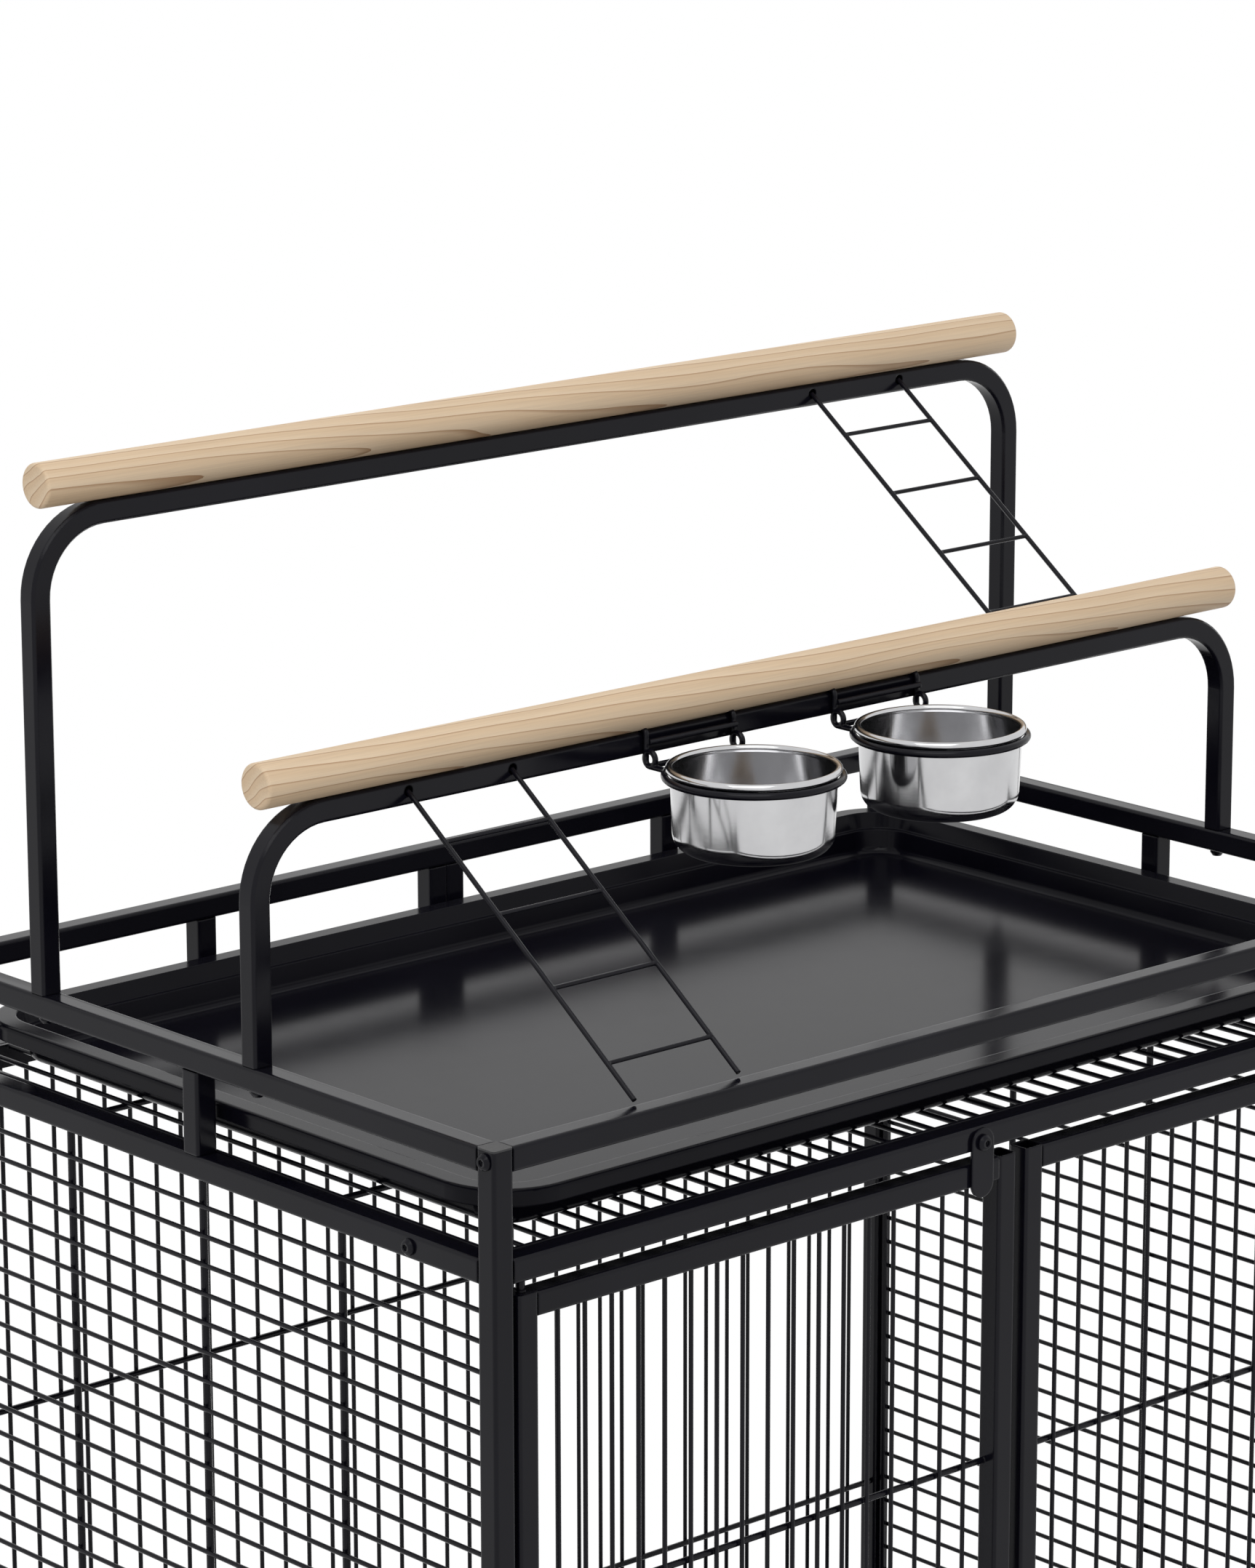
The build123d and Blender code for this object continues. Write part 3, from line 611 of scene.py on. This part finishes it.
# Perches: round wooden dowels with eased ends
def perch(end):
    node = f"perch_{end}"
    low, high = node_box(node)
    radius = (high.y - low.y) / 2
    half = (high.x - low.x) / 2
    flat = radius - PERCH_EASE
    side_half = half - PERCH_EASE
    profile = [(AXIS_RADIUS, -half), (radius / 2, -half)]
    profile += arc((flat, -side_half), PERCH_EASE, -90, 0, BEND_POINTS)
    profile += [(radius, -side_half + 2 * side_half * i / PERCH_SPANS) for i in range(1, PERCH_SPANS)]
    profile += arc((flat, side_half), PERCH_EASE, 0, 90, BEND_POINTS)
    profile += [(radius / 2, half), (AXIS_RADIUS, half)]
    place = Matrix.Translation((low + high) / 2) @ Matrix.Rotation(math.pi / 2, 4, "Y")
    piece = lathe(f"perch_{end}_dowel", profile, place, MATERIALS["pale_wood"], PERCH_POINTS)
    keep_sharp(piece, PERCH_SHARP)
    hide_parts(node)
    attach(piece, "cage")


# Ladders: two rails and four rungs of round wire
def ladder(end, body):
    node = f"ladder_{end}"
    low, high = node_box(node)
    radius = LADDER_WIRE / 2
    rails_x = (low.x + radius, high.x - radius)
    along = Vector((0.0, high.y - low.y, high.z - low.z)).normalized()
    tip = Vector((0.0, high.y - radius * along.z, high.z - radius * along.y))
    foot = Vector((0.0, low.y + radius * along.z, low.z + radius * along.y))
    parts = []
    for x in rails_x:
        rail = straight(foot + ALONG_X * x, tip + ALONG_X * x)
        parts.append(tube_along("rail", rail, radius, COAT))
    for i in range(RUNGS):
        at = tip + (foot - tip) * (FIRST_RUNG + RUNG_STEP * i)
        rung = straight(*(at + ALONG_X * x for x in rails_x))
        parts.append(tube_along("rung", rung, RUNG_WIRE / 2, COAT))
    piece = joined(f"ladder_{end}_wires", parts)
    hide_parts(node)
    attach(piece, body)


# Camera at the photograph's place
def place_camera():
    azimuth, down, roll = (math.radians(a) for a in (CAMERA_AZIMUTH, CAMERA_DOWN, CAMERA_ROLL))
    flat = math.cos(down)
    forward = Vector((math.sin(azimuth) * flat, math.cos(azimuth) * flat, -math.sin(down)))
    level = Vector((math.cos(azimuth), -math.sin(azimuth), 0.0))
    upward = level.cross(forward)
    right = level * math.cos(roll) + upward * math.sin(roll)
    up = upward * math.cos(roll) - level * math.sin(roll)
    low = node_box("post_front_left")[0]
    high = node_box("post_plugs")[1]
    corner = Vector((low.x, low.y, high.z))
    place = corner + Vector(CAMERA_FROM_CORNER) * TUBE
    camera = bpy.data.objects.new("camera", bpy.data.cameras.new("camera"))
    bpy.context.scene.collection.objects.link(camera)
    turn = Matrix((right, up, -forward)).transposed().to_4x4()
    camera.matrix_world = Matrix.Translation(place) @ turn
    camera.data.sensor_fit = "VERTICAL"
    camera.data.sensor_height = FILM_HEIGHT
    camera.data.lens = FOCAL_PIXELS * FILM_HEIGHT / IMAGE_HEIGHT
    camera.data.clip_end = CAMERA_REACH
    bpy.context.scene.camera = camera


# Studio: white surroundings where they are seen, an even grey sky as light, a floor and two soft lamps
def sky():
    world = bpy.data.worlds.new("studio")
    bpy.context.scene.world = world
    world.use_nodes = True
    tree = world.node_tree
    mix = tree.nodes.new("ShaderNodeMix")
    mix.data_type = "RGBA"
    mix.inputs["A"].default_value = (*SKY_LIGHT, 1.0)
    mix.inputs["B"].default_value = (*SKY_SEEN, 1.0)
    tree.links.new(camera_or_glossy(tree), mix.inputs["Factor"])
    tree.links.new(mix.outputs["Result"], tree.nodes["Background"].inputs["Color"])


def lift_where_seen(tree, shader):
    """A pale lift that only the camera and gloss see, so that the floor nears white and keeps its shadow."""
    lift = tree.nodes.new("ShaderNodeEmission")
    scale = tree.nodes.new("ShaderNodeMath")
    scale.operation = "MULTIPLY"
    scale.inputs[1].default_value = FLOOR_LIFT
    tree.links.new(camera_or_glossy(tree), scale.inputs[0])
    tree.links.new(scale.outputs["Value"], lift.inputs["Strength"])
    total = tree.nodes.new("ShaderNodeAddShader")
    tree.links.new(shader.outputs["BSDF"], total.inputs[0])
    tree.links.new(lift.outputs["Emission"], total.inputs[1])
    output = next(node for node in tree.nodes if node.type == "OUTPUT_MATERIAL")
    tree.links.new(total.outputs["Shader"], output.inputs["Surface"])


def studio_floor():
    material, tree, shader = new_material("studio_floor", (FLOOR_GREY, FLOOR_GREY, FLOOR_GREY), 0.9)
    lift_where_seen(tree, shader)
    rim = circle(Vector((0.0, 0.0, 0.0)), FLOOR_RADIUS, ALONG_X, ALONG_Y, FLOOR_POINTS)
    floor = new_object("studio_floor", rim, [tuple(range(FLOOR_POINTS))], material)


def lamp(name, place, size, power):
    """Square area lamp that points at the play top."""
    data = bpy.data.lights.new(name, "AREA")
    data.size = size
    data.energy = power
    piece = bpy.data.objects.new(name, data)
    piece.location = place
    piece.rotation_euler = (Vector(LAMP_TARGET) - Vector(place)).to_track_quat("-Z", "Y").to_euler()
    bpy.context.scene.collection.objects.link(piece)
    return piece


def studio():
    bpy.context.scene.view_settings.view_transform = "Standard"
    sky()
    studio_floor()
    lamp("key", (-1.6, -1.4, 4.2), size=2.6, power=40.0)
    back = lamp("back", (1.8, 2.6, 3.2), size=2.2, power=20.0)
    back.visible_glossy = False


finish_nodes()
for which in ("left", "right"):
    cup(which)
    holder(which)
flange_beads()
for which, sign in (("left", -1), ("right", 1)):
    door_welds(which)
    side_welds(which, sign)
for which in ("front", "rear"):
    perch(which)
ladder("front", "front_ladder")
ladder("rear", "cage")
place_camera()
studio()
